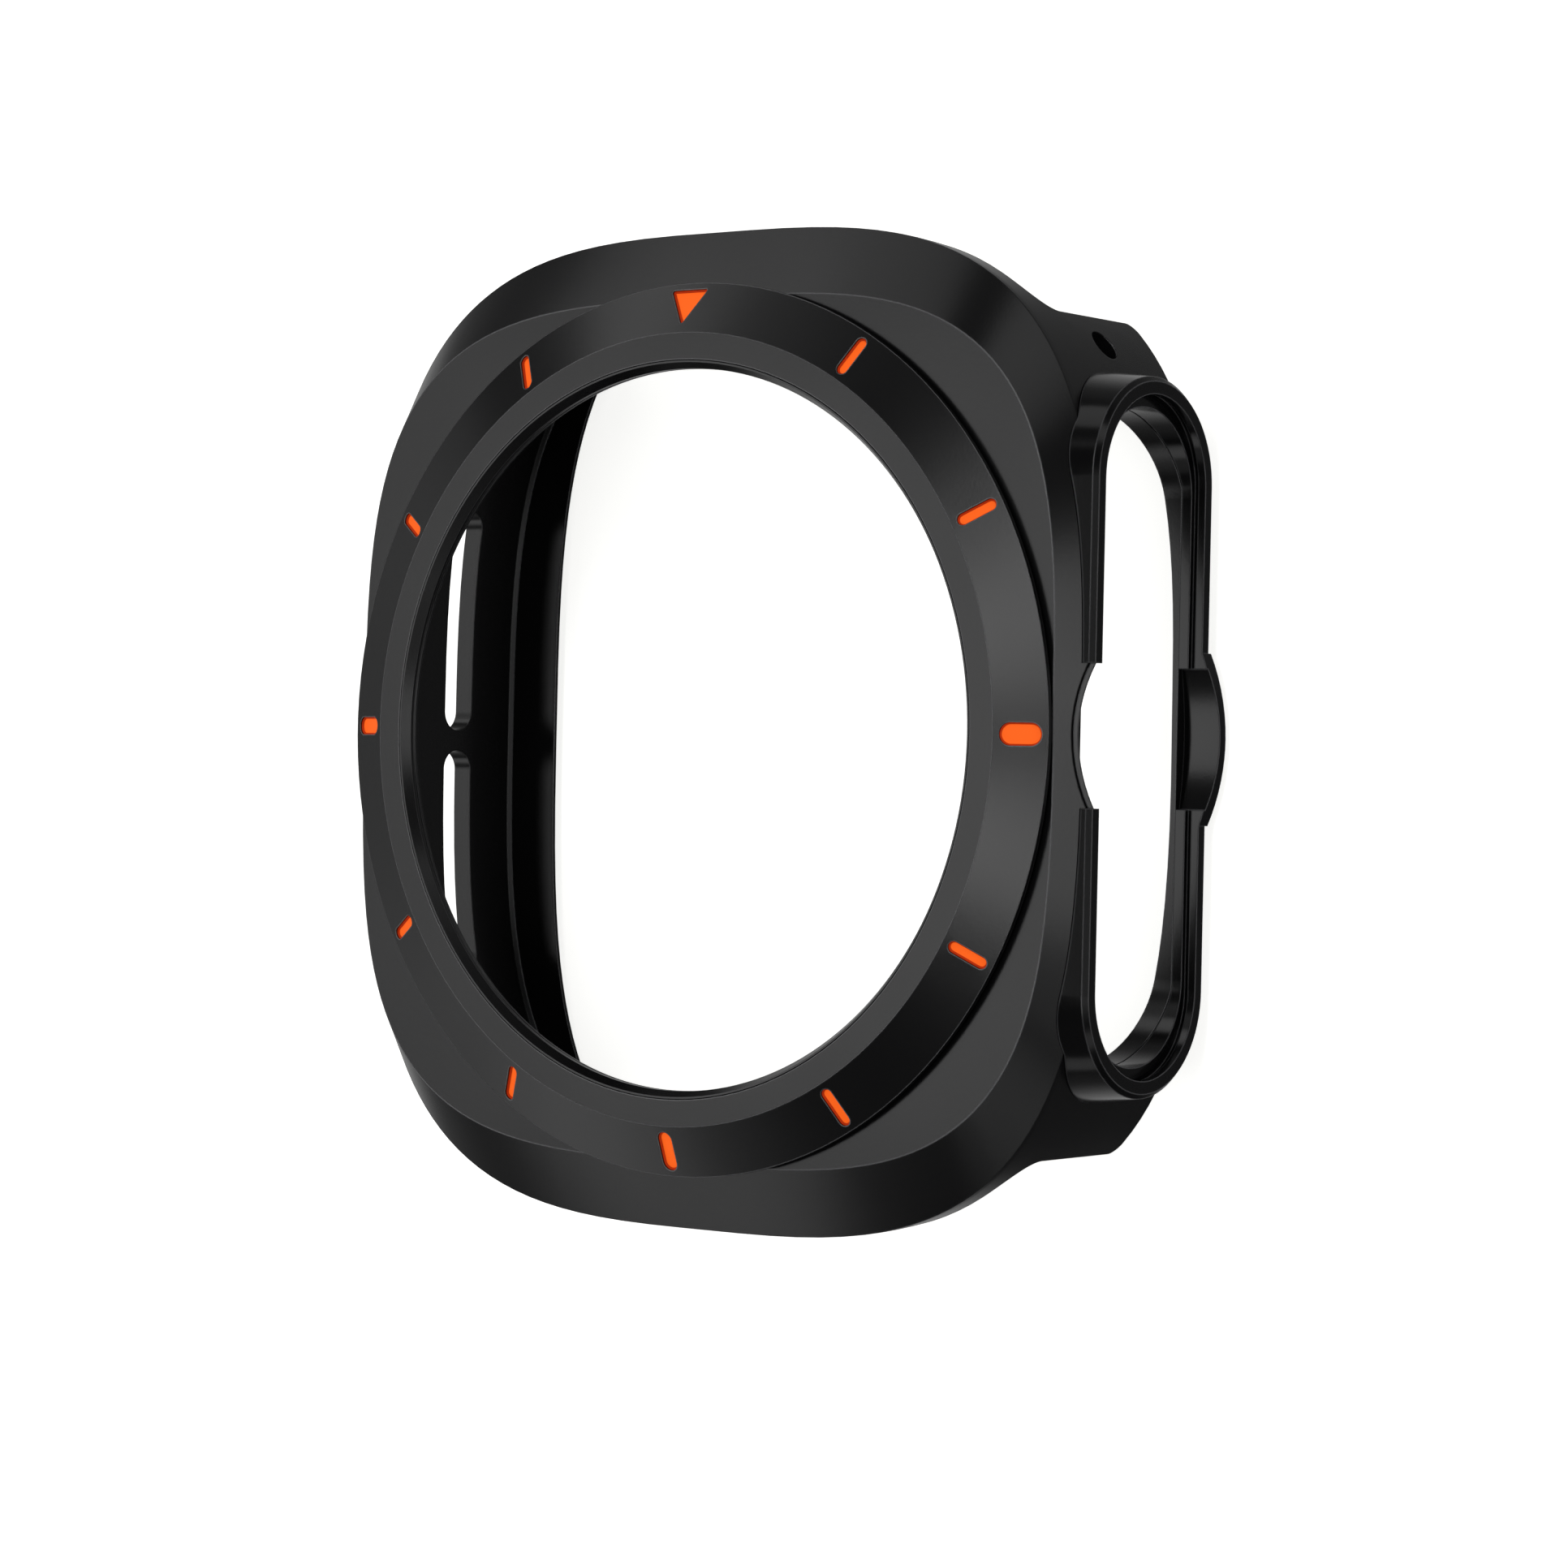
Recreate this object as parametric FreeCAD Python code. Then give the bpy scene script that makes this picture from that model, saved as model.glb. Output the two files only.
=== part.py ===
# Clip-on protective cover for a cushion-shaped smartwatch: a thin moulded frame, a round dial
# bezel seated on it, a glossy guard round the buttons and twelve hour marks in the bezel.
#
# Millimetres. The origin is the centre of the dial opening at the front face of the bezel.
# +Z points out of the dial, +Y to twelve o'clock and +X to the crown at three o'clock.
import FreeCAD, Part
import math
import os

from FreeCAD import Vector

# Bezel ring, from the dial opening outwards
dial_radius = 20.12
flat_width = 1.47
bevel_run = 2.79
bezel_drop = 1.07
flank_height = 0.27
foot_height = 0.22
foot_inset = 0.88

# Upstand of the frame that the bezel fits over, and the way in for the watch glass below it
lip_thickness = 0.88
lip_cover = 0.79
lip_land = 0.45
lip_clearance = 0.08
glass_entry = 1.05

# Frame: its outlines are cushions, given by two half widths and a squareness. The face reaches
# past the bezel's foot by a margin, and the band runs out from the face to a sharp crease.
face_margin_x = 0.81
face_margin_y = 0.12
face_squareness = 3.55
band_run_x = 1.19
band_run_y = 3.83
band_drop = 2.15
crease_squareness = 3.27
rim_height = 0.35
total_depth = 14.79
wall_draft = 0.45
plate_thickness = 1.2

# Space for the watch body inside walls of these thicknesses, and the catches that hold it
side_wall = 1.5
end_wall = 1.5
catch_reach = 3.5
catch_spread = 1.35
catch_thickness = 0.89
catch_nose = 0.2
catch_lead_in = 0.75
catch_corner = 0.19
catch_relief = 0.85

# Side walls as seen from the crown side: how far they stay back from the ends of the frame
strap_recess = 4.95
skirt_recess = 1.05
skirt_depth = 1.3
skirt_corner = 0.5
wall_root_round = 2.0
wall_corner_round = 0.6

# Two vents in the wall at nine o'clock
vent_width = 2.28
vent_length = 12.95
vent_gap = 1.15
vent_shift = -0.68
vent_depth = 9.23

# Microphone hole between one and two o'clock
mic_radius = 0.93
mic_inset = 1.47
mic_depth = 9.7

# Button slot and the guard in it: a sleeve through the wall with a wider rim standing out of it
guard_depth = 8.5
slot_half_width = 4.5
slot_inset = 5.15
slot_ledge = 0.33
sleeve_wall = 0.4
sleeve_clearance = 0.04
mouth_step = 0.17
mouth_end_step = 0.65
mouth_depth = 0.77
groove_depth = 0.14
groove_width = 0.3
rim_wall = 0.85
rim_end_wall = 0.95
guard_stand = 0.22
guard_reach = 4.0
guard_flare = 0.5
guard_seam = 0.05
guard_chamfer = 0.26

# Crown clearance in the guard, and the bump that shields the crown from behind
crown_half_gap = 3.75
crown_front_rise = 1.45
crown_front_radius = 9.1
crown_front_wall = 0.25
crown_rear_rise = 0.69
crown_rear_radius = 20.0
bump_rise = 0.9
bump_half_span = 4.6
bump_wall = 0.55

# Hour marks: inlays sunk in pockets of the bevel
mark_length = 2.28
mark_depth = 0.3
mark_gap = 0.04
mark_sink = 0.2
minor_mark_width = 0.66
six_mark_width = 0.95
nine_mark_width = 1.0
three_mark_width = 1.2
triangle_half_base = 1.28
triangle_outer_reach = 1.09
triangle_inner_reach = 1.01
triangle_round = 0.1
mark_count = 12

# One overrun serves every cut, and every cushion outline has as many points
overrun = 3.0
outline_points = 40

# Radii and half widths that follow from the sizes above
flat_radius = dial_radius + flat_width
bezel_radius = flat_radius + bevel_run
foot_radius = bezel_radius - foot_inset
lip_radius = dial_radius + lip_thickness
bevel_slope = math.atan2(bezel_drop, bevel_run)
mark_orbit = (flat_radius + bezel_radius) / 2
face_half_x = foot_radius + face_margin_x
face_half_y = foot_radius + face_margin_y
crease_half_x = face_half_x + band_run_x
crease_half_y = face_half_y + band_run_y
cavity_half_x = crease_half_x - side_wall
cavity_half_y = crease_half_y - end_wall
catch_half_x = cavity_half_x - catch_reach
catch_half_y = cavity_half_y + catch_spread
wall_half_span = crease_half_y - strap_recess
skirt_half_span = crease_half_y - skirt_recess
slot_half_length = wall_half_span - slot_inset
relief_half_span = slot_half_length + catch_relief
sleeve_seat_x = cavity_half_x + slot_ledge
mouth_half_width = slot_half_width + mouth_step
mouth_half_length = slot_half_length + mouth_end_step
guard_half_width = mouth_half_width + rim_wall
guard_half_length = mouth_half_length + rim_end_wall
guard_rim_x = crease_half_x + guard_stand
guard_root_x = guard_rim_x - guard_reach
guard_top_x = guard_rim_x + bump_rise
mouth_x = guard_rim_x - mouth_depth

# Levels that follow from the sizes above
shoulder_z = -bezel_drop
flank_z = shoulder_z - flank_height
face_z = flank_z - foot_height
crease_z = face_z - band_drop
rim_z = crease_z - rim_height
skirt_z = rim_z - skirt_depth
wall_root_z = skirt_z - wall_root_round
ceiling_z = face_z - plate_thickness
back_z = -total_depth
catch_z = back_z + catch_thickness
slot_z = -guard_depth


def signed_power(value, exponent):
    """Power of a coordinate that keeps the coordinate's sign."""
    return math.copysign(abs(value) ** exponent, value)


def cushion(half_x, half_y, squareness, z):
    """Closed cushion outline, a superellipse, at one level."""
    points = []
    for step in range(outline_points):
        angle = 2 * math.pi * step / outline_points
        x = half_x * signed_power(math.cos(angle), 2 / squareness)
        y = half_y * signed_power(math.sin(angle), 2 / squareness)
        points.append(Vector(x, y, z))
    curve = Part.BSplineCurve()
    curve.interpolate(Points=points, PeriodicFlag=True)
    return Part.Wire([curve.toShape()])


def stack(*outlines):
    """Solid with straight sides between outlines at rising or falling levels."""
    return Part.makeLoft(list(outlines), True, True)


def rounded_wire(corners, place):
    """Closed wire through corners (u, v, round); place(u, v) gives a corner's point in space."""
    count = len(corners)
    points = [Vector(u, v, 0) for u, v, _ in corners]
    bends = []
    for index, (_, _, radius) in enumerate(corners):
        here = points[index]
        back = (points[index - 1] - here).normalize()
        ahead = (points[(index + 1) % count] - here).normalize()
        half_angle = back.getAngle(ahead) / 2
        reach = radius / math.tan(half_angle)
        bisector = (back + ahead).normalize()
        middle = here + bisector * (radius / math.sin(half_angle) - radius)
        bends.append((here + back * reach, middle, here + ahead * reach))
    edges = []
    for index, (start, middle, stop) in enumerate(bends):
        following = bends[(index + 1) % count][0]
        if corners[index][2] > 0:
            arc = Part.Arc(place(start.x, start.y), place(middle.x, middle.y), place(stop.x, stop.y))
            edges.append(arc.toShape())
        line = Part.LineSegment(place(stop.x, stop.y), place(following.x, following.y))
        edges.append(line.toShape())
    return Part.Wire(edges)


def cut_each(solid, tools):
    """The solid with every tool taken off it in turn."""
    for tool in tools:
        solid = solid.cut(tool)
    return solid


def turned(corners):
    """Solid turned about Z from corners (radius, level, round)."""
    wire = rounded_wire(corners, lambda radius, z: Vector(radius, 0, z))
    return Part.Face(wire).revolve(Vector(0, 0, 0), Vector(0, 0, 1), 360)


def box_between(low, high):
    """Box from its lowest corner to its highest."""
    size = high - low
    return Part.makeBox(size.x, size.y, size.z, low)


def racetrack(half_width, half_length, z, x_low, x_high):
    """Racetrack bar along X: straight sides along Y and round ends."""
    straight = half_length - half_width
    core = box_between(
        Vector(x_low, -straight, z - half_width),
        Vector(x_high, straight, z + half_width),
    )
    length = x_high - x_low
    ends = []
    for side in (-1, 1):
        centre = Vector(x_low, side * straight, z)
        ends.append(Part.makeCylinder(half_width, length, centre, Vector(1, 0, 0)))
    return core.fuse(ends).removeSplitter()


def racetrack_wire(half_width, half_length, x):
    """Racetrack outline round the slot's axis, in the plane across X."""
    straight = half_length - half_width
    top, bottom = slot_z + half_width, slot_z - half_width
    upper_end = Part.Arc(
        Vector(x, straight, top), Vector(x, half_length, slot_z), Vector(x, straight, bottom)
    )
    lower_end = Part.Arc(
        Vector(x, -straight, bottom), Vector(x, -half_length, slot_z), Vector(x, -straight, top)
    )
    rear = Part.LineSegment(Vector(x, straight, bottom), Vector(x, -straight, bottom))
    front = Part.LineSegment(Vector(x, -straight, top), Vector(x, straight, top))
    return Part.Wire([curve.toShape() for curve in (upper_end, rear, lower_end, front)])


def crown_lens(reach, radius, direction, half_gap, x_low, x_high):
    """Bar along X between the slot's axis and an arc that clears the crown."""
    centre = Vector(x_low, 0, slot_z + direction * (reach - radius))
    round_bar = Part.makeCylinder(radius, x_high - x_low, centre, Vector(1, 0, 0))
    far_z = slot_z + direction * (reach + overrun)
    window = box_between(
        Vector(x_low, -half_gap, min(slot_z, far_z)),
        Vector(x_high, half_gap, max(slot_z, far_z)),
    )
    return round_bar.common(window)


def crease_outline(z):
    """Outside of the walls at one level: the crease's outline, drawn in by the draft below it."""
    inset = wall_draft * max(rim_z - z, 0) / (rim_z - back_z)
    return cushion(crease_half_x - inset, crease_half_y - inset, crease_squareness, z)


def cavity_outline(inset, z):
    """Inside of the walls at one level, drawn in by an inset."""
    return cushion(cavity_half_x - inset, cavity_half_y - inset, crease_squareness, z)


def catch_outline(lead_in, z):
    """Edge of the catches at one level, opened by a lead-in."""
    return cushion(catch_half_x + lead_in, catch_half_y + lead_in, crease_squareness, z)


def envelope():
    """Outside of the frame as one closed body, from the face to the back."""
    face = cushion(face_half_x, face_half_y, face_squareness, face_z)
    levels = (crease_z, rim_z, skirt_z, wall_root_z, back_z)
    return stack(face, *[crease_outline(z) for z in levels])


def catch_gap():
    """Stretch of the crown side without a catch, so nothing lies behind the button slot."""
    low_z, high_z = back_z - catch_thickness, catch_z + catch_corner
    stretch = box_between(
        Vector(0, -relief_half_span, low_z), Vector(crease_half_x, relief_half_span, high_z)
    )
    return stack(cavity_outline(0, high_z), cavity_outline(0, low_z)).common(stretch)


def watch_space():
    """Room inside the frame: under the sloping band, between the walls and past the catches."""
    levels = (rim_z, skirt_z, wall_root_z, catch_z + catch_corner)
    body_room = stack(
        cushion(cavity_half_x, face_half_y, face_squareness, ceiling_z),
        *[cavity_outline(0, z) for z in levels],
        cavity_outline(catch_corner, catch_z),
    )
    catch_room = stack(
        catch_outline(0, catch_z + catch_corner),
        catch_outline(0, catch_z - catch_nose),
        catch_outline(catch_lead_in, back_z),
    )
    return body_room.fuse([catch_room, catch_gap()])


def wall_profile():
    """Side view of the frame: full at the band, a short skirt below it, then the side walls."""
    far_y = crease_half_y + overrun
    right = [
        (far_y, face_z + overrun, 0),
        (far_y, rim_z, 0),
        (skirt_half_span + skirt_corner, rim_z, 0),
        (skirt_half_span - skirt_corner, skirt_z, skirt_corner),
        (wall_half_span, skirt_z, wall_root_round),
        (wall_half_span, back_z, wall_corner_round),
    ]
    left = [(-y, z, radius) for y, z, radius in reversed(right)]
    far_x = crease_half_x + overrun
    wire = rounded_wire(right + left, lambda y, z: Vector(-far_x, y, z))
    return Part.Face(wire).extrude(Vector(2 * far_x, 0, 0))


def dial_cut():
    """Opening for the watch glass: a land at the dial's radius, widening towards the back."""
    land_z = -lip_cover - lip_land
    wide_radius = dial_radius + glass_entry
    return turned([
        (0, overrun, 0),
        (dial_radius, overrun, 0),
        (dial_radius, land_z, 0),
        (wide_radius, land_z - glass_entry, 0),
        (wide_radius, rim_z, 0),
        (0, rim_z, 0),
    ])


def bezel_lip():
    """Upstand round the dial opening, before the opening is cut."""
    return turned([
        (0, -lip_cover, 0),
        (lip_radius, -lip_cover, 0),
        (lip_radius, ceiling_z, 0),
        (0, ceiling_z, 0),
    ])


def vents():
    """Two slots with round ends, one over the other, in the nine o'clock wall."""
    half_width = vent_width / 2
    offset = (vent_gap + vent_length) / 2
    x_high = -catch_half_x
    x_low = -crease_half_x - overrun
    slots = []
    for side in (-1, 1):
        slot = racetrack(half_width, vent_length / 2, -vent_depth, x_low, x_high)
        slots.append(slot.translated(Vector(0, vent_shift + side * offset, 0)))
    return slots


def mic_hole():
    """Hole square to the corner of the wall, at the height of the microphone."""
    y = wall_half_span - mic_inset
    share = (y / crease_half_y) ** crease_squareness
    x = crease_half_x * (1 - share) ** (1 / crease_squareness)
    slope_x = (x / crease_half_x) ** (crease_squareness - 1) / crease_half_x
    slope_y = (y / crease_half_y) ** (crease_squareness - 1) / crease_half_y
    outward = Vector(slope_x, slope_y, 0).normalize()
    surface = Vector(x, y, -mic_depth)
    return Part.makeCylinder(mic_radius, 2 * overrun, surface - outward * overrun, outward)


def sleeve_bar(grow):
    """Outside of the guard's sleeve as a bar along X, grown by a clearance."""
    wall = sleeve_wall + grow
    x_high = guard_top_x + overrun
    bar = racetrack(slot_half_width + wall, slot_half_length + wall, slot_z, sleeve_seat_x, x_high)
    front = crown_lens(
        slot_half_width + crown_front_rise + grow,
        crown_front_radius + grow,
        1,
        crown_half_gap + 2 * sleeve_wall + grow,
        sleeve_seat_x,
        x_high,
    )
    rear = crown_lens(
        slot_half_width + crown_rear_rise + wall,
        crown_rear_radius + wall,
        -1,
        crown_half_gap + wall,
        sleeve_seat_x,
        x_high,
    )
    return bar.fuse([front, rear])


def case_frame(outside):
    """Moulded frame: face plate, sloping band, side walls with catches, and its openings."""
    shell = outside.cut(watch_space()).common(wall_profile()).fuse(bezel_lip())
    slot = racetrack(slot_half_width, slot_half_length, slot_z, dial_radius, sleeve_seat_x)
    openings = [dial_cut(), slot, sleeve_bar(sleeve_clearance), mic_hole()] + vents()
    return cut_each(shell, openings)


def guard_flange():
    """Rim of the guard: a racetrack that flares towards its root, with a chamfered front edge."""
    return stack(
        racetrack_wire(guard_half_width + guard_flare, guard_half_length + guard_flare, guard_root_x),
        racetrack_wire(guard_half_width, guard_half_length, guard_rim_x - guard_chamfer),
        racetrack_wire(
            guard_half_width - guard_chamfer, guard_half_length - guard_chamfer, guard_rim_x
        ),
    )


def crown_bump():
    """Rounded rise of the guard's rear rim behind the crown."""
    crest_radius = (bump_half_span ** 2 + bump_rise ** 2) / (2 * bump_rise)
    reach = slot_half_width + crown_rear_rise + bump_wall
    bulge = reach - guard_half_width
    rear_radius = (bump_half_span ** 2 + bulge ** 2) / (2 * bulge)
    bar = crown_lens(reach, rear_radius, -1, bump_half_span, guard_root_x, guard_top_x)
    back_half = box_between(
        Vector(guard_root_x, -bump_half_span, slot_z - reach),
        Vector(guard_top_x, bump_half_span, slot_z - slot_half_width),
    )
    foot = Vector(guard_top_x - crest_radius, 0, slot_z - reach)
    crest = Part.makeCylinder(crest_radius, reach, foot, Vector(0, 0, 1))
    return bar.common(back_half).common(crest)


def guard_bore():
    """Cuts through the guard: the slot, its wider mouth with a groove at its foot, the crown."""
    x_low = guard_root_x - overrun
    x_high = guard_top_x + overrun
    groove_x = mouth_x + groove_width
    cuts = [racetrack(slot_half_width, slot_half_length, slot_z, x_low, x_high)]
    steps = [(groove_depth, mouth_x, groove_x), (0, groove_x, x_high)]
    for grow, x_foot, x_top in steps:
        width, length = mouth_half_width + grow, mouth_half_length + grow
        cuts.append(racetrack(width, length, slot_z, x_foot, x_top))
    front_reach = slot_half_width + crown_front_rise - crown_front_wall
    front_radius = crown_front_radius - crown_front_wall
    rear_reach = slot_half_width + crown_rear_rise
    cuts.append(crown_lens(front_reach, front_radius, 1, crown_half_gap, x_low, x_high))
    cuts.append(crown_lens(rear_reach, crown_rear_radius, -1, crown_half_gap, x_low, x_high))
    return cuts


def crown_front_gap(outside):
    """Gap in the front rim that lets a finger reach the crown, down to the frame's surface."""
    gap = box_between(
        Vector(guard_root_x, -crown_half_gap, slot_z),
        Vector(guard_top_x, crown_half_gap, 0),
    )
    return gap.cut(outside)


def button_guard(outside):
    """Guard round the buttons: stepped inside, open in front of the crown, bumped behind it."""
    seat = outside.translated(Vector(guard_seam, 0, 0))
    flange = guard_flange().fuse(crown_bump()).cut(seat)
    guard = flange.fuse(seat.common(sleeve_bar(0)))
    return cut_each(guard, guard_bore() + [crown_front_gap(seat)])


def bezel_blank():
    """Bezel turned in one piece: flat face, bevel, undercut foot and the step over the lip."""
    seat_radius = lip_radius + lip_clearance
    return turned([
        (dial_radius, 0, 0),
        (flat_radius, 0, 0),
        (bezel_radius, shoulder_z, 0),
        (bezel_radius, flank_z, 0),
        (foot_radius, flank_z, 0),
        (foot_radius, face_z, 0),
        (seat_radius, face_z, 0),
        (seat_radius, -lip_cover, 0),
        (dial_radius, -lip_cover, 0),
    ])


def slot_wire(length, width, z):
    """Outline of a straight mark along X with round ends, at one level."""
    reach, radius = (length - width) / 2, width / 2
    outer_end = Part.Arc(
        Vector(reach, -radius, z), Vector(reach + radius, 0, z), Vector(reach, radius, z)
    )
    inner_end = Part.Arc(
        Vector(-reach, radius, z), Vector(-reach - radius, 0, z), Vector(-reach, -radius, z)
    )
    sides = [
        Part.LineSegment(Vector(reach, radius, z), Vector(-reach, radius, z)),
        Part.LineSegment(Vector(-reach, -radius, z), Vector(reach, -radius, z)),
    ]
    return Part.Wire([curve.toShape() for curve in (outer_end, sides[0], inner_end, sides[1])])


def triangle_wire(inset, z):
    """Outline of the twelve o'clock mark, its point towards the dial, drawn in by an inset."""
    half_base = triangle_half_base - 2 * inset
    outer, inner = triangle_outer_reach - inset, 2 * inset - triangle_inner_reach
    corners = [(outer, -half_base), (outer, half_base), (inner, 0)]
    rounded = [(u, v, triangle_round) for u, v in corners]
    return rounded_wire(rounded, lambda u, v: Vector(u, v, z))


def mark_width(hour):
    """Width of a straight mark; the first of the twelve is a triangle and has none."""
    named = {0: None, 3: three_mark_width, 6: six_mark_width, 9: nine_mark_width}
    return named.get(hour, minor_mark_width)


def mark_solid(hour, inset, low, high):
    """Solid with the mark's outline, from low to high over the bevel, at its hour."""
    width = mark_width(hour)
    if width is None:
        wire = triangle_wire(inset, low)
    else:
        wire = slot_wire(mark_length - 2 * inset, width - 2 * inset, low)
    solid = Part.Face(wire).extrude(Vector(0, 0, high - low))
    level = -(mark_orbit - flat_radius) * math.tan(bevel_slope)
    solid.rotate(Vector(0, 0, 0), Vector(0, 1, 0), math.degrees(bevel_slope))
    solid.translate(Vector(mark_orbit, 0, level))
    solid.rotate(Vector(0, 0, 0), Vector(0, 0, 1), 90 - 360 * hour / mark_count)
    return solid


def mark_inlay(hour):
    """One mark: an inlay that fills the foot of its pocket but for a thin gap."""
    return mark_solid(hour, mark_gap, -mark_depth, -mark_sink)


def single_solid(shape, name):
    """The one solid of a shape, after a look that it is whole."""
    solid = max(shape.Solids, key=lambda piece: piece.Volume)
    facts = (name, len(shape.Solids), solid.Volume, solid.isValid())
    print("%s: %d solid, volume %.2f mm3, valid %s" % facts)
    return solid


def build():
    """Make every piece and write it as a STEP file under its own name."""
    outside = envelope()
    pockets = [mark_solid(hour, 0, -mark_depth, overrun) for hour in range(mark_count)]
    bezel = cut_each(bezel_blank(), pockets)
    pieces = {
        "case_frame": case_frame(outside),
        "bezel_ring": bezel,
        "button_guard": button_guard(outside),
        "mark_12_triangle": mark_inlay(0),
    }
    for hour in range(1, mark_count):
        pieces["mark_%02d_bar" % hour] = mark_inlay(hour)
    os.makedirs("parts", exist_ok=True)
    for name, shape in pieces.items():
        single_solid(shape, name).exportStep("parts/%s.step" % name)


build()
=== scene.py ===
"""Looks, light and camera for a clip-on protective case of a cushion-shaped smartwatch.

The frame comes from the CAD as it is: metres, origin at the centre of the dial opening at the
front face of the bezel, +Z out of the dial, +Y to twelve o'clock, +X to the crown. Values with
_MM in their name are millimetres and those with _DEG degrees. Both are turned where they are used.
"""

import math

import bpy
from mathutils import Matrix, Vector


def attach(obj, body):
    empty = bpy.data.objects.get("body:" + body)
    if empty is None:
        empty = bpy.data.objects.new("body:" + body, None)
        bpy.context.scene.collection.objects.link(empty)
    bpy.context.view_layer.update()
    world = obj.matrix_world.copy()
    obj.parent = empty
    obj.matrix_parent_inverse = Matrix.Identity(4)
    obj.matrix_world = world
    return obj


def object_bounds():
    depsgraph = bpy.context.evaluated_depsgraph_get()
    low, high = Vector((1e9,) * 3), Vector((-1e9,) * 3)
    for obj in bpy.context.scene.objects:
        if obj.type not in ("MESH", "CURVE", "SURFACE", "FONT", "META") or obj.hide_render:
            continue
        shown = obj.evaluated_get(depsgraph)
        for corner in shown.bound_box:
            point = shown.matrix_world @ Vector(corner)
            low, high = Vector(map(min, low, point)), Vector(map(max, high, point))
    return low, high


MM = 0.001

# The camera of the photograph: its place, the point its middle looks at, its turn and its lens
CAMERA_PLACE_MM = (162.25, -2.70, 194.92)
CAMERA_AIM_MM = (7.98, -2.83, 0.0)
CAMERA_TURN_DEG = 1.23
LENS_MM = 107.05
SENSOR_MM = 36.0
CLIP_START_MM = 10.0

# Floor: a pale sweep just under the case, lit from within so that it comes out white
FLOOR_HALF_M = 3.0
FLOOR_GAP_MM = 0.02
FLOOR_COLOUR = "#F6F6F4"
FLOOR_ROUGHNESS = 0.9
FLOOR_GLOW = 0.9

# Surroundings: dim above the horizon, and below it the weak glow of the paper, which only gloss
# picks up. A pair gives the stretch of a direction's X, Y or Z over which one glow passes into
# the next.
AMBIENT = 0.06
PAPER_IN_SHADE = 0.16
PAPER_DARKEST = 0.032
PAPER_IN_LIGHT = 0.5
PAPER_DARKENS_Y = (-0.6, 0.6)
PAPER_LIT_Z = (-0.55, -0.25)
LEFT_TO_CROWN_X = (-0.5, -0.2)
HORIZON_Z = (-0.1, 0.1)

# Soft boxes: direction from the case (degrees from +X towards +Y, then above the floor), half the
# width and half the height as seen from the case in degrees, and radiance
SOFT_BOX_DISTANCE_M = 0.8
SOFT_BOXES = {
    "crown_low": (0.0, 8.0, 11.1, 8.0, 2.9),
    "crown_front_low": (337.5, 8.0, 11.1, 8.0, 0.51),
    "crown_high": (0.0, 42.0, 9.5, 9.0, 0.70),
    "crown_back": (58.0, 24.0, 22.0, 9.0, 0.98),
    "back": (112.5, 20.0, 10.3, 12.0, 0.75),
    "back_left": (135.0, 24.0, 10.3, 9.0, 1.36),
    "left": (167.0, 38.0, 19.0, 8.0, 0.84),
    "left_low": (180.0, 9.0, 22.0, 5.0, 0.42),
    "left_front": (214.0, 24.0, 20.5, 9.0, 1.16),
    "front_right": (304.0, 22.0, 20.5, 7.5, 0.70),
    "crown_front_high": (341.0, 38.0, 9.0, 7.5, 0.5),
    "front": (277.0, 21.0, 7.0, 7.0, 0.5),
    "front_low": (251.0, 11.0, 11.0, 7.0, 0.55),
    "back_left_high": (131.0, 44.0, 9.5, 8.0, 0.34),
    "front_left_high": (225.0, 41.0, 8.0, 6.0, 0.28),
    "back_high": (72.0, 60.0, 9.0, 9.0, 2.7),
    "left_high": (180.0, 58.0, 9.0, 11.5, 2.0),
    "top_back": (60.0, 76.0, 7.3, 9.0, 3.6),
    "top_front": (300.0, 76.0, 7.3, 9.0, 3.8),
}

# All surfaces: plastic and paint bend light alike, and their gloss drifts a little in wide patches
PLASTIC_IOR = 1.45
EDGE_SAMPLES = 6
DRIFT_PATCH_MM = 9.0
DRIFT_OF_ROUGHNESS = 0.03

# Painted edge highlight: a lighter colour along the edges stands in for the light lines they catch.
# Cosine between the rounded and the face's own direction where the highlight starts and where it
# is full, how much further an edge has to look up until it is fully highlighted, the most
# highlight, and the height from which a direction counts as looking up, for upper edges and for
# all of them
EDGE_HIGHLIGHT_STARTS = 0.998
EDGE_HIGHLIGHT_FULL = 0.975
EDGE_HIGHLIGHT_TURN = 0.25
EDGE_HIGHLIGHT_MOST = 0.9
HIGHLIGHT_UPPER_EDGES = 0.6
HIGHLIGHT_ALL_EDGES = -2.0

# Paint on the walls of the mark pockets. Orbit, level, slope and lengths repeat those of the
# solids. The film starts on the inlay, runs up the wall, thins at its waist and stops short of
# the bevel, which leaves the thin black rim of the painted marks.
MARK_ORBIT_MM = 22.985
MARK_LEVEL_MM = -0.535
BEVEL_SLOPE_DEG = 20.98
MARK_LENGTH_MM = 2.28
FILM_INSET_MM = 0.004
FILM_FOOT_MM = 0.20
FILM_TOP_MM = 0.10
FILM_REACH_MM = 0.09
WAIST_OF_REACH = 0.28
WAIST_OF_HEIGHT = 0.3
CORNER_STEPS = 7
ROUND_END_OF_WIDTH = 0.4995

# Bars by width: first hour, number of hours, the multiple that has no bar of this width, width
NO_MULTIPLE = 100
BAR_GROUPS = {
    "minor": (1, 11, 3, 0.66),
    "three": (3, 1, NO_MULTIPLE, 1.20),
    "six": (6, 1, NO_MULTIPLE, 0.95),
    "nine": (9, 1, NO_MULTIPLE, 1.00),
}
HOUR_DEG = 30.0
TWELVE_DEG = 90.0

# Triangle at twelve: its point is blunt, and its middle lies further out than the bars' middles
TRIANGLE_BASE_MM = 2.56
TRIANGLE_POINT_MM = 0.112
TRIANGLE_HEIGHT_MM = 2.008
TRIANGLE_SHIFT_MM = 0.086
TRIANGLE_CORNER_MM = 0.10

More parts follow.
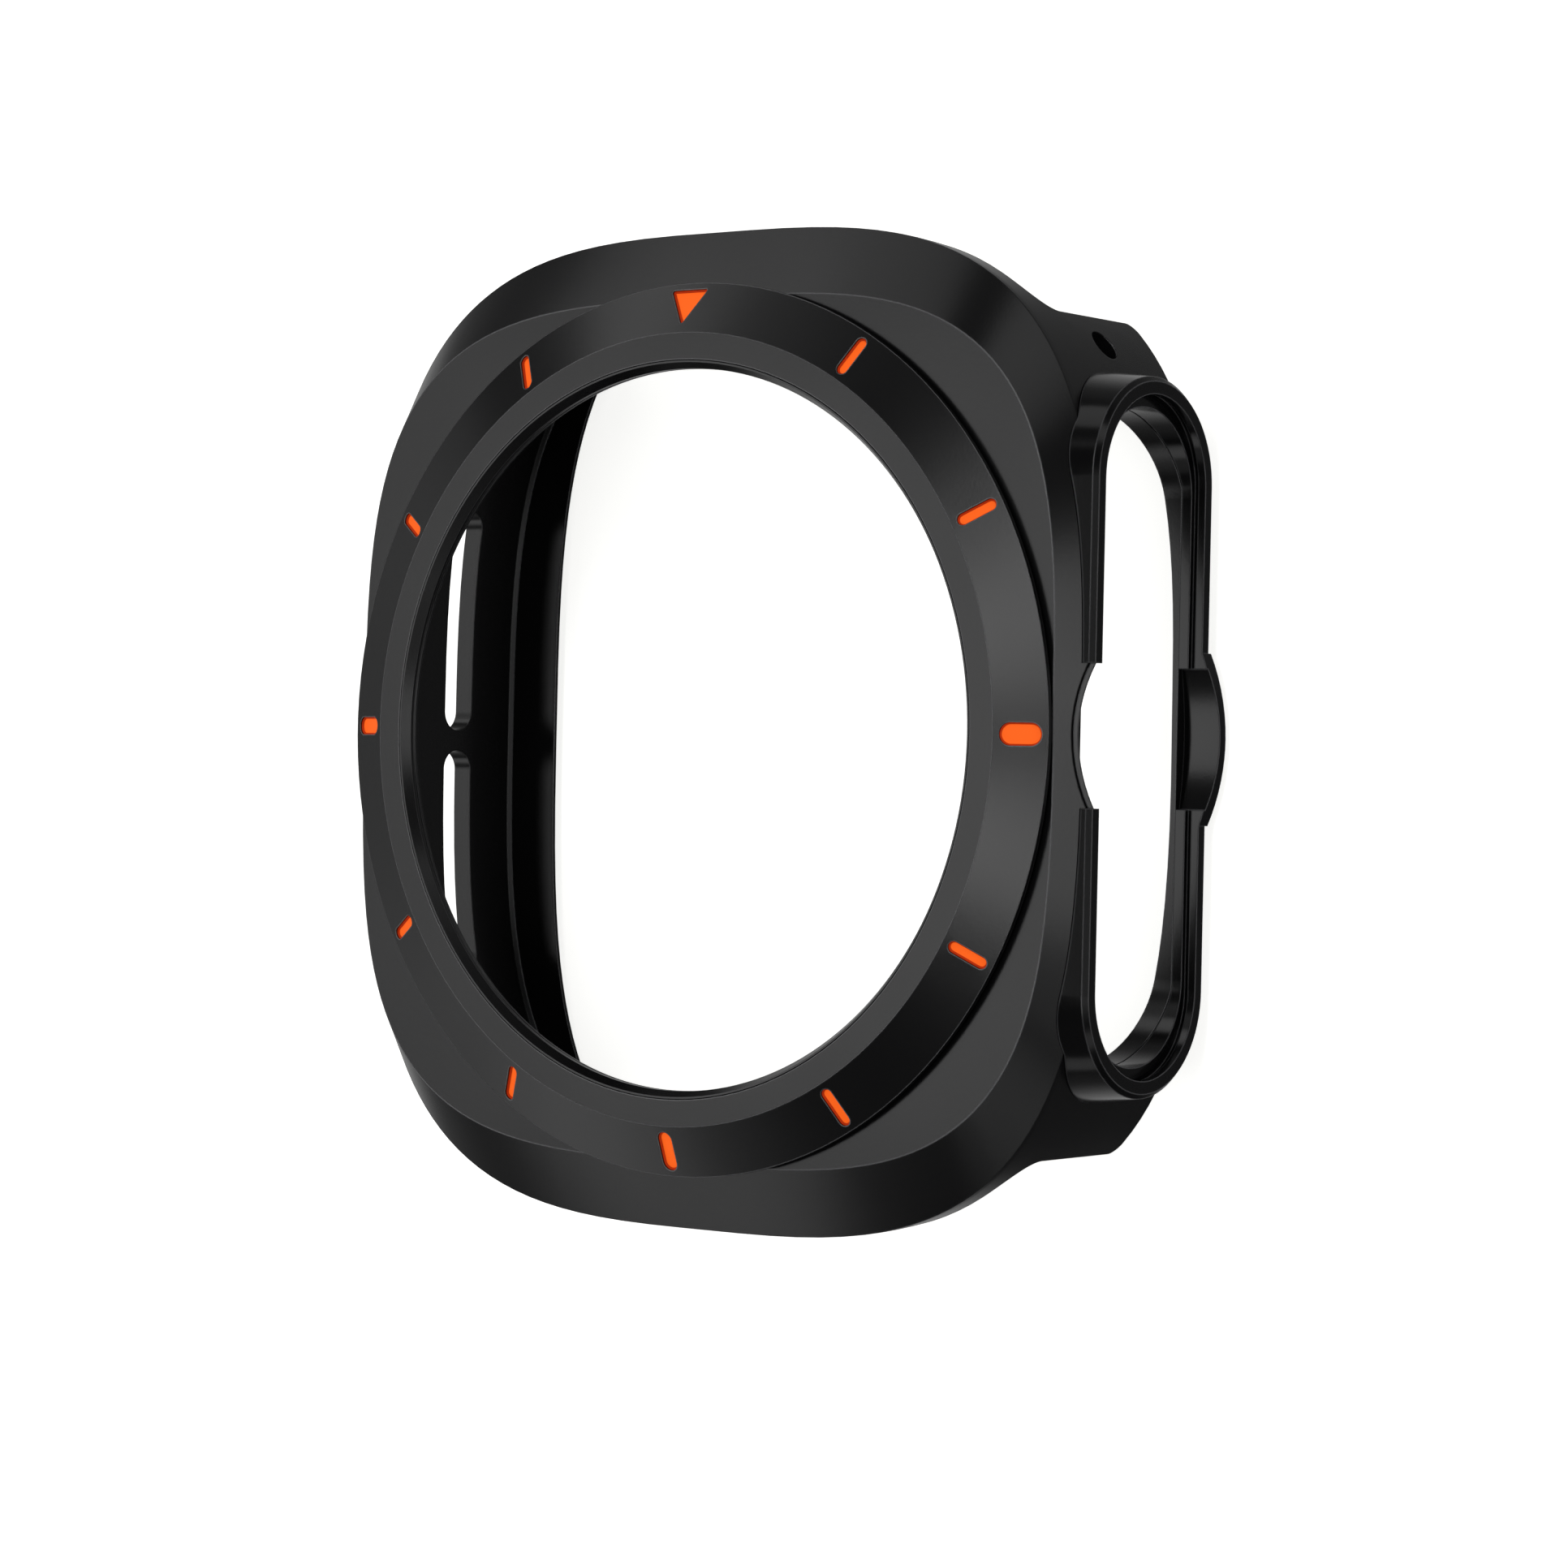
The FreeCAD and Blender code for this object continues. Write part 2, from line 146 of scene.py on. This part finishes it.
# Trim ring in the dial opening: its section as radius and height, and the circle it is swept
# along. Under the bezel it is a hair wider than the bore, so that no light passes behind it.
LIP_SECTION_MM = (
    (20.07, -0.80), (20.125, -0.85), (20.125, -1.20), (19.90, -1.20), (19.66, -0.95),
    (19.66, -0.84), (19.74, -0.76), (19.66, -0.70), (19.66, -0.50), (19.97, 0.0), (20.07, 0.0),
)
LIP_PATH_RADIUS_MM = 20.07
LIP_STEPS = 180

# Faces that meet at more than this keep a crisp edge between them
CRISP_DEG = 30.0


def linear(hex_colour):
    """Linear RGBA of an sRGB hex colour."""
    parts = [int(hex_colour[i:i + 2], 16) / 255 for i in (1, 3, 5)]
    return [p / 12.92 if p <= 0.04045 else ((p + 0.055) / 1.055) ** 2.4 for p in parts] + [1.0]


def add_node(tree, kind, settings=None, **inputs):
    """Adds one node: settings are its own properties, inputs its sockets by name or i and index."""
    node = tree.nodes.new(kind)
    for name, value in (settings or {}).items():
        setattr(node, name, value)
    for name, value in inputs.items():
        socket = node.inputs[int(name[1:]) if name[1:].isdigit() else name.replace("_", " ")]
        if isinstance(value, bpy.types.NodeSocket):
            tree.links.new(value, socket)
        else:
            socket.default_value = value
    return node


def grained_surface(name, roughness, specular, grain_mm, grain_depth_mm, edge_mm):
    """Starts a material with fine grain, softly rounded edges and a gloss that drifts a little."""
    material = bpy.data.materials.new(name)
    material.use_nodes = True
    tree = material.node_tree
    tree.nodes.clear()
    place = add_node(tree, "ShaderNodeTexCoord").outputs["Object"]
    grain = add_node(
        tree, "ShaderNodeTexNoise", Vector=place, Scale=1 / (grain_mm * MM), Detail=2.0,
    )
    edge = add_node(tree, "ShaderNodeBevel", {"samples": EDGE_SAMPLES}, Radius=edge_mm * MM)
    bump = add_node(
        tree, "ShaderNodeBump", Height=grain.outputs["Fac"], Normal=edge.outputs["Normal"],
        Strength=1.0, Distance=grain_depth_mm * MM,
    )
    drift = add_node(
        tree, "ShaderNodeTexNoise", Vector=place, Scale=1 / (DRIFT_PATCH_MM * MM), Detail=1.0,
    )
    rough = add_node(
        tree, "ShaderNodeMapRange", Value=drift.outputs["Fac"],
        To_Min=roughness - DRIFT_OF_ROUGHNESS, To_Max=roughness + DRIFT_OF_ROUGHNESS,
    )
    shader = add_node(
        tree, "ShaderNodeBsdfPrincipled", IOR=PLASTIC_IOR, Specular_IOR_Level=specular,
        Roughness=rough.outputs["Result"], Normal=bump.outputs["Normal"],
    )
    add_node(tree, "ShaderNodeOutputMaterial", Surface=shader.outputs["BSDF"])
    return material, shader, edge.outputs["Normal"]


def moulded_plastic(name, colour, edge_highlight_colour, highlight_from, **surface):
    """Grained plastic with a painted highlight: a lighter colour along the edges that look up far
    enough.
    """
    material, shader, rounded = grained_surface(name, **surface)
    tree = material.node_tree
    # An edge is where the rounded direction leaves the face's own
    face = add_node(tree, "ShaderNodeNewGeometry").outputs["Normal"]
    lean = add_node(
        tree, "ShaderNodeVectorMath", {"operation": "DOT_PRODUCT"}, i0=rounded, i1=face,
    )
    up = add_node(tree, "ShaderNodeSeparateXYZ", Vector=rounded).outputs["Z"]
    # Painted highlight: the further an edge looks up, the more of the lighter colour it gets
    upward_highlight = add_node(
        tree, "ShaderNodeMapRange", Value=up, From_Min=highlight_from, From_Max=highlight_from + EDGE_HIGHLIGHT_TURN,
        To_Min=0.0, To_Max=EDGE_HIGHLIGHT_MOST,
    )
    painted_highlight = add_node(
        tree, "ShaderNodeMapRange", Value=lean.outputs["Value"], From_Min=EDGE_HIGHLIGHT_STARTS,
        From_Max=EDGE_HIGHLIGHT_FULL, To_Min=0.0, To_Max=upward_highlight.outputs["Result"],
    )
    # Base colour passes into the lighter painted-highlight colour along those edges
    tone = add_node(
        tree, "ShaderNodeMix", {"data_type": "RGBA"}, i0=painted_highlight.outputs["Result"],
        i6=linear(colour), i7=linear(edge_highlight_colour),
    )
    tree.links.new(tone.outputs[2], shader.inputs["Base Color"])
    return material


def filled_paint(name, colour, glow, edge_mm):
    """Matt acrylic paint in the pockets: a faint orange peel and an evenly bright colour.

    Its colour glows a little, though it is no lamp: a painted glow that brightens it.
    """
    material, shader, _ = grained_surface(
        name, roughness=0.6, specular=0.15, grain_mm=0.10, grain_depth_mm=0.001, edge_mm=edge_mm,
    )
    shader.inputs["Base Color"].default_value = linear(colour)
    shader.inputs["Emission Color"].default_value = linear(colour)
    shader.inputs["Emission Strength"].default_value = glow
    return material


def frame_black():
    """Moulded polycarbonate: a broad satin sheen, and pale hairlines of painted highlight on upper
    edges.

    The grain of such a mould is about 0.05 mm. It is drawn three times as coarse, so that it shows.
    """
    return moulded_plastic(
        "polycarbonate_black_satin_grain", colour="#0A0A0B", edge_highlight_colour="#808082",
        highlight_from=HIGHLIGHT_UPPER_EDGES, roughness=0.25, specular=0.5,
        grain_mm=0.16, grain_depth_mm=0.002, edge_mm=0.12,
    )


def bezel_black():
    """The same plastic from a finer mould: a slightly tighter sheen that lets the marks stand out.

    Its grain, too, is drawn about three times as coarse as it is.
    """
    # Its lighter edge colour is a painted highlight along the upper edges
    return moulded_plastic(
        "polycarbonate_black_bezel_grain", colour="#0A0A0B", edge_highlight_colour="#8C8C8E",
        highlight_from=HIGHLIGHT_UPPER_EDGES, roughness=0.24, specular=0.5,
        grain_mm=0.14, grain_depth_mm=0.002, edge_mm=0.10,
    )


def guard_black():
    """Polished mould: bright streaks along the guard's steps, painted highlight on all edges, next
    to no grain.
    """
    return moulded_plastic(
        "polycarbonate_black_polished", colour="#070708", edge_highlight_colour="#48484A",
        highlight_from=HIGHLIGHT_ALL_EDGES, roughness=0.16, specular=0.43,
        grain_mm=0.20, grain_depth_mm=0.001, edge_mm=0.10,
    )


def lip_black():
    """Turned smooth: a dark, clean inner edge, with one thin painted-highlight line along its
    groove.
    """
    return moulded_plastic(
        "polycarbonate_black_turned_lip", colour="#0A0A0B", edge_highlight_colour="#4A4A4C",
        highlight_from=HIGHLIGHT_ALL_EDGES, roughness=0.22, specular=0.6,
        grain_mm=0.14, grain_depth_mm=0.001, edge_mm=0.03,
    )


def mark_orange():
    """Thick paint on the inlays: an even, matt orange, with a painted glow that makes it look
    brighter than its shade.
    """
    return filled_paint("acrylic_paint_fluorescent_orange", "#FF661C", glow=0.48, edge_mm=0.04)


def pocket_orange():
    """The thin coat on the pocket walls: a deeper, redder copy of the orange, painted shade of the
    sunk walls, with a faint painted glow.
    """
    return filled_paint("acrylic_paint_thin_over_black", "#D8400C", glow=0.05, edge_mm=0.02)


def dress(nodes):
    """Gives every CAD node its material."""
    plastics = {
        "case_frame": frame_black(), "bezel_ring": bezel_black(), "button_guard": guard_black(),
    }
    orange = mark_orange()
    for name, obj in nodes.items():
        for slot in obj.material_slots:
            slot.material = plastics.get(name, orange)


def crisp_edges(tree, mesh):
    """Smooth faces, but a crisp edge wherever two of them meet steeply."""
    smooth = add_node(tree, "GeometryNodeSetShadeSmooth", {"domain": "FACE"}, Geometry=mesh)
    angle = add_node(tree, "GeometryNodeInputMeshEdgeAngle").outputs["Unsigned Angle"]
    steep = add_node(
        tree, "ShaderNodeMath", {"operation": "GREATER_THAN"}, i0=angle, i1=math.radians(CRISP_DEG),
    )
    crisp = add_node(
        tree, "GeometryNodeSetShadeSmooth", {"domain": "EDGE"}, Geometry=smooth.outputs["Geometry"],
        Selection=steep.outputs["Value"], Shade_Smooth=False,
    )
    return crisp.outputs["Geometry"]


def tree_with_inputs(name, **sockets):
    """Geometry tree with a geometry input and output and one named input for each size."""
    tree = bpy.data.node_groups.new(name, "GeometryNodeTree")
    sides = tree.interface
    sides.new_socket("Geometry", in_out="OUTPUT", socket_type="NodeSocketGeometry")
    sides.new_socket("Geometry", in_out="INPUT", socket_type="NodeSocketGeometry")
    for size, kind in sockets.items():
        sides.new_socket(size.replace("_", " "), in_out="INPUT", socket_type="NodeSocket" + kind)
    return tree, add_node(tree, "NodeGroupInput").outputs


def realized(tree, geometry, material):
    """Ends a tree: instances become real mesh, which gets its material."""
    real = add_node(tree, "GeometryNodeRealizeInstances", Geometry=geometry)
    finished = add_node(
        tree, "GeometryNodeSetMaterial", Geometry=real.outputs["Geometry"], Material=material,
    )
    add_node(tree, "NodeGroupOutput", Geometry=finished.outputs["Geometry"])


def film_section(tree, given):
    """Section of the paint film in outward distance and depth: thick at its foot, thin on top."""
    waist = add_node(
        tree, "ShaderNodeMath", {"operation": "MULTIPLY"}, i0=given["Reach"], i1=-WAIST_OF_REACH,
    ).outputs["Value"]
    far = add_node(
        tree, "ShaderNodeMath", {"operation": "MULTIPLY"}, i0=given["Reach"], i1=-1.0,
    ).outputs["Value"]
    middle = add_node(
        tree, "ShaderNodeMix", {"data_type": "FLOAT"}, i0=WAIST_OF_HEIGHT, i2=given["Foot"],
        i3=given["Top"],
    ).outputs["Result"]
    outline = ((0.0, given["Foot"]), (far, given["Foot"]), (waist, middle), (0.0, given["Top"]))
    corners = [
        add_node(tree, "ShaderNodeCombineXYZ", X=x, Y=y).outputs["Vector"] for x, y in outline
    ]
    section = add_node(
        tree, "GeometryNodeCurvePrimitiveQuadrilateral", {"mode": "POINTS"},
        Point_1=corners[0], Point_2=corners[1], Point_3=corners[2], Point_4=corners[3],
    )
    return section.outputs["Curve"]


def pocket_paint_tree():
    """Paint films for a row of mark pockets: an outline, a film swept along it, set out by hour."""
    tree, given = tree_with_inputs(
        "pocket_paint", Width="Float", Outer_Length="Float", Inner_Length="Float", Corner="Float",
        Turn="Vector", Shift="Vector", Foot="Float", Top="Float", Reach="Float", Slope="Vector",
        Seat="Vector", First_Hour="Int", Hours="Int", Left_Out="Int", Paint="Material",
    )
    outline = add_node(
        tree, "GeometryNodeCurvePrimitiveQuadrilateral", {"mode": "TRAPEZOID"},
        Height=given["Width"], Bottom_Width=given["Outer Length"],
        Top_Width=given["Inner Length"], Offset=0.0,
    )
    rounded = add_node(
        tree, "GeometryNodeFilletCurve", {"mode": "POLY"}, Curve=outline.outputs["Curve"],
        Count=CORNER_STEPS, Radius=given["Corner"], Limit_Radius=True,
    )
    film = add_node(
        tree, "GeometryNodeCurveToMesh", Curve=rounded.outputs["Curve"],
        Profile_Curve=film_section(tree, given),
    )
    turned = add_node(
        tree, "GeometryNodeTransform", Geometry=crisp_edges(tree, film.outputs["Mesh"]),
        Translation=given["Shift"], Rotation=given["Turn"],
    )
    seated = add_node(
        tree, "GeometryNodeTransform", Geometry=turned.outputs["Geometry"],
        Translation=given["Seat"], Rotation=given["Slope"],
    )
    index = add_node(tree, "GeometryNodeInputIndex").outputs["Index"]
    hour = add_node(
        tree, "ShaderNodeMath", {"operation": "ADD"}, i0=index, i1=given["First Hour"],
    ).outputs["Value"]
    # What is left of the hour after the multiple is zero only where no film is to be set
    kept = add_node(
        tree, "ShaderNodeMath", {"operation": "MODULO"}, i0=hour, i1=given["Left Out"],
    )
    bearing = add_node(
        tree, "ShaderNodeMath", {"operation": "MULTIPLY_ADD"}, i0=hour,
        i1=math.radians(-HOUR_DEG), i2=math.radians(TWELVE_DEG),
    )
    around = add_node(tree, "ShaderNodeCombineXYZ", Z=bearing.outputs["Value"])
    row = add_node(tree, "GeometryNodeMeshLine", Count=given["Hours"], Offset=(0, 0, 0))
    films = add_node(
        tree, "GeometryNodeInstanceOnPoints", Points=row.outputs["Mesh"],
        Selection=kept.outputs["Value"], Instance=seated.outputs["Geometry"],
        Rotation=around.outputs["Vector"],
    )
    both = add_node(tree, "GeometryNodeJoinGeometry", Geometry=given["Geometry"])
    tree.links.new(films.outputs["Instances"], both.inputs["Geometry"])
    realized(tree, both.outputs["Geometry"], given["Paint"])
    return tree


def ring_sweep_tree():
    """A section, drawn as the edges of the object's own mesh, swept round the dial's centre."""
    tree, given = tree_with_inputs("ring_sweep", Radius="Float", Steps="Int", Finish="Material")
    section = add_node(tree, "GeometryNodeMeshToCurve", Mesh=given["Geometry"])
    ring = add_node(
        tree, "GeometryNodeCurvePrimitiveCircle", {"mode": "RADIUS"}, Radius=given["Radius"],
        Resolution=given["Steps"],
    )
    swept = add_node(
        tree, "GeometryNodeCurveToMesh", Curve=ring.outputs["Curve"],
        Profile_Curve=section.outputs["Curve"],
    )
    realized(tree, crisp_edges(tree, swept.outputs["Mesh"]), given["Finish"])
    return tree


def add_modifier(obj, tree, **sizes):
    """Puts a tree on an object and sets its inputs by their identifiers."""
    modifier = obj.modifiers.new(tree.name, "NODES")
    modifier.node_group = tree
    for item in tree.interface.items_tree:
        key = item.name.replace(" ", "_")
        if item.in_out == "INPUT" and key in sizes:
            modifier[item.identifier] = sizes[key]


def plain_piece(obj):
    """Turns an object's modifiers into plain mesh and makes it a piece that rides on the case."""
    bpy.context.view_layer.update()
    graph = bpy.context.evaluated_depsgraph_get()
    mesh = bpy.data.meshes.new_from_object(obj.evaluated_get(graph))
    obj.modifiers.clear()
    obj.data = mesh
    mesh.name = obj.name
    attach(obj, "root")


def new_object(name, points=(), edges=(), faces=()):
    """Object at the origin with a mesh of the given points, edges and faces."""
    mesh = bpy.data.meshes.new(name)
    mesh.from_pydata(points, edges, faces)
    obj = bpy.data.objects.new(name, mesh)
    bpy.context.scene.collection.objects.link(obj)
    return obj


def mark_paint_film():
    """Paint on the walls of the twelve mark pockets, one modifier for each size of mark."""
    film = new_object("mark_paint_film")
    tree = pocket_paint_tree()
    # The wall film takes the darker orange: painted shade on the sunk pocket walls
    common = {
        "Foot": FILM_FOOT_MM * MM, "Top": FILM_TOP_MM * MM, "Reach": FILM_REACH_MM * MM,
        "Slope": (0.0, math.radians(BEVEL_SLOPE_DEG), 0.0),
        "Seat": (MARK_ORBIT_MM * MM, 0.0, MARK_LEVEL_MM * MM), "Paint": pocket_orange(),
    }
    inset = FILM_INSET_MM * MM
    length = MARK_LENGTH_MM * MM - 2 * inset
    for first, hours, left_out, width_mm in BAR_GROUPS.values():
        width = width_mm * MM - 2 * inset
        add_modifier(
            film, tree, Width=width, Outer_Length=length, Inner_Length=length,
            Corner=ROUND_END_OF_WIDTH * width, Turn=(0.0, 0.0, 0.0), Shift=(0.0, 0.0, 0.0),
            First_Hour=first, Hours=hours, Left_Out=left_out, **common,
        )
    # The triangle's slanting sides take twice the inset off its base
    add_modifier(
        film, tree, Width=TRIANGLE_HEIGHT_MM * MM - 2 * inset,
        Outer_Length=TRIANGLE_BASE_MM * MM - 4 * inset, Inner_Length=TRIANGLE_POINT_MM * MM,
        Corner=TRIANGLE_CORNER_MM * MM, Turn=(0.0, 0.0, math.radians(90)),
        Shift=(TRIANGLE_SHIFT_MM * MM, 0.0, 0.0), First_Hour=12, Hours=1,
        Left_Out=NO_MULTIPLE, **common,
    )
    plain_piece(film)


def dial_inner_lip():
    """Trim ring that lines the dial opening, pressed into the land of the frame's lip."""
    points = [((r - LIP_PATH_RADIUS_MM) * MM, -z * MM, 0.0) for r, z in LIP_SECTION_MM]
    edges = [(i, (i + 1) % len(points)) for i in range(len(points))]
    lip = new_object("dial_inner_lip", points, edges)
    add_modifier(
        lip, ring_sweep_tree(), Radius=LIP_PATH_RADIUS_MM * MM, Steps=LIP_STEPS,
        Finish=lip_black(),
    )
    plain_piece(lip)


def surroundings():
    """World light: dim above the horizon, and below it paper that is lit or lies in shade."""
    world = bpy.data.worlds.new("studio")
    world.use_nodes = True
    world.cycles.sampling_method = "NONE"
    tree = world.node_tree
    tree.nodes.clear()
    heading = add_node(tree, "ShaderNodeTexCoord").outputs["Generated"]
    parts = add_node(tree, "ShaderNodeSeparateXYZ", Vector=heading).outputs
    # Crown side: paper in shade that darkens towards six o'clock. Left side: lit paper lower down
    crown_side = add_node(
        tree, "ShaderNodeMapRange", Value=parts["Y"], From_Min=PAPER_DARKENS_Y[0],
        From_Max=PAPER_DARKENS_Y[1], To_Min=PAPER_DARKEST, To_Max=PAPER_IN_SHADE,
    )
    left_side = add_node(
        tree, "ShaderNodeMapRange", Value=parts["Z"], From_Min=PAPER_LIT_Z[0],
        From_Max=PAPER_LIT_Z[1], To_Min=PAPER_IN_LIGHT, To_Max=PAPER_IN_SHADE,
    )
    below = add_node(
        tree, "ShaderNodeMapRange", Value=parts["X"], From_Min=LEFT_TO_CROWN_X[0],
        From_Max=LEFT_TO_CROWN_X[1], To_Min=left_side.outputs["Result"],
        To_Max=crown_side.outputs["Result"],
    )
    glow = add_node(
        tree, "ShaderNodeMapRange", Value=parts["Z"], From_Min=HORIZON_Z[0],
        From_Max=HORIZON_Z[1], To_Min=below.outputs["Result"], To_Max=AMBIENT,
    )
    sky = add_node(
        tree, "ShaderNodeBackground", Color=(1.0, 1.0, 1.0, 1.0), Strength=glow.outputs["Result"],
    )
    add_node(tree, "ShaderNodeOutputWorld", Surface=sky.outputs["Background"])
    bpy.context.scene.world = world


def paper_floor(floor_z):
    """White paper under the case. Gloss does not see it, because the surroundings stand in."""
    signs = ((-1, -1), (1, -1), (1, 1), (-1, 1))
    corners = [(x * FLOOR_HALF_M, y * FLOOR_HALF_M, floor_z) for x, y in signs]
    floor = new_object("floor", corners, faces=[(0, 1, 2, 3)])
    paper = bpy.data.materials.new("paper_white_sweep")
    paper.use_nodes = True
    shader = paper.node_tree.nodes["Principled BSDF"]
    shader.inputs["Base Color"].default_value = linear(FLOOR_COLOUR)
    shader.inputs["Roughness"].default_value = FLOOR_ROUGHNESS
    shader.inputs["Emission Color"].default_value = linear(FLOOR_COLOUR)
    shader.inputs["Emission Strength"].default_value = FLOOR_GLOW
    floor.data.materials.append(paper)
    floor.visible_glossy = False


def soft_box(name, azimuth, height, half_width, half_height, radiance):
    """Rectangular soft box that faces the case from a direction; angles are in degrees."""
    azimuth, height = math.radians(azimuth), math.radians(height)
    towards = Vector((
        math.cos(height) * math.cos(azimuth), math.cos(height) * math.sin(azimuth), math.sin(height)
    ))
    light = bpy.data.lights.new("soft_box_" + name, "AREA")
    light.shape = "RECTANGLE"
    light.size = 2 * SOFT_BOX_DISTANCE_M * math.tan(math.radians(half_width))
    light.size_y = 2 * SOFT_BOX_DISTANCE_M * math.tan(math.radians(half_height))
    light.energy = radiance * math.pi * light.size * light.size_y
    obj = bpy.data.objects.new(light.name, light)
    obj.location = towards * SOFT_BOX_DISTANCE_M
    obj.rotation_euler = towards.to_track_quat("Z", "Y").to_euler()
    obj.visible_camera = False
    bpy.context.scene.collection.objects.link(obj)


def photo_camera():
    """The camera at the photograph's place, on a long lens and turned a little."""
    data = bpy.data.cameras.new("photo_camera")
    data.lens = LENS_MM
    data.sensor_width = SENSOR_MM
    data.clip_start = CLIP_START_MM * MM
    place, aim = Vector(CAMERA_PLACE_MM) * MM, Vector(CAMERA_AIM_MM) * MM
    back = (place - aim).normalized()
    right = Vector((0, 1, 0)).cross(back).normalized()
    level = Matrix((right, back.cross(right), back)).transposed()
    turn = Matrix.Rotation(math.radians(CAMERA_TURN_DEG), 3, "Z")
    camera = bpy.data.objects.new("photo_camera", data)
    camera.matrix_world = Matrix.Translation(place) @ (level @ turn).to_4x4()
    bpy.context.scene.collection.objects.link(camera)
    bpy.context.scene.camera = camera


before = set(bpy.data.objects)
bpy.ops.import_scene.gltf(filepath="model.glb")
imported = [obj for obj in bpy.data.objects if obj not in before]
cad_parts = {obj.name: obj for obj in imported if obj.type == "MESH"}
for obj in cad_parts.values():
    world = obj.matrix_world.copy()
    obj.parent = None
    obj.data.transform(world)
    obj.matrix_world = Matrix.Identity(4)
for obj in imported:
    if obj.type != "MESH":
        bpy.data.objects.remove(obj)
cad_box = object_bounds()
bpy.context.scene.view_settings.view_transform = "Standard"
dress(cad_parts)
mark_paint_film()
dial_inner_lip()
surroundings()
paper_floor(cad_box[0][2] - FLOOR_GAP_MM * MM)
for box_name, figures in SOFT_BOXES.items():
    soft_box(box_name, *figures)
photo_camera()
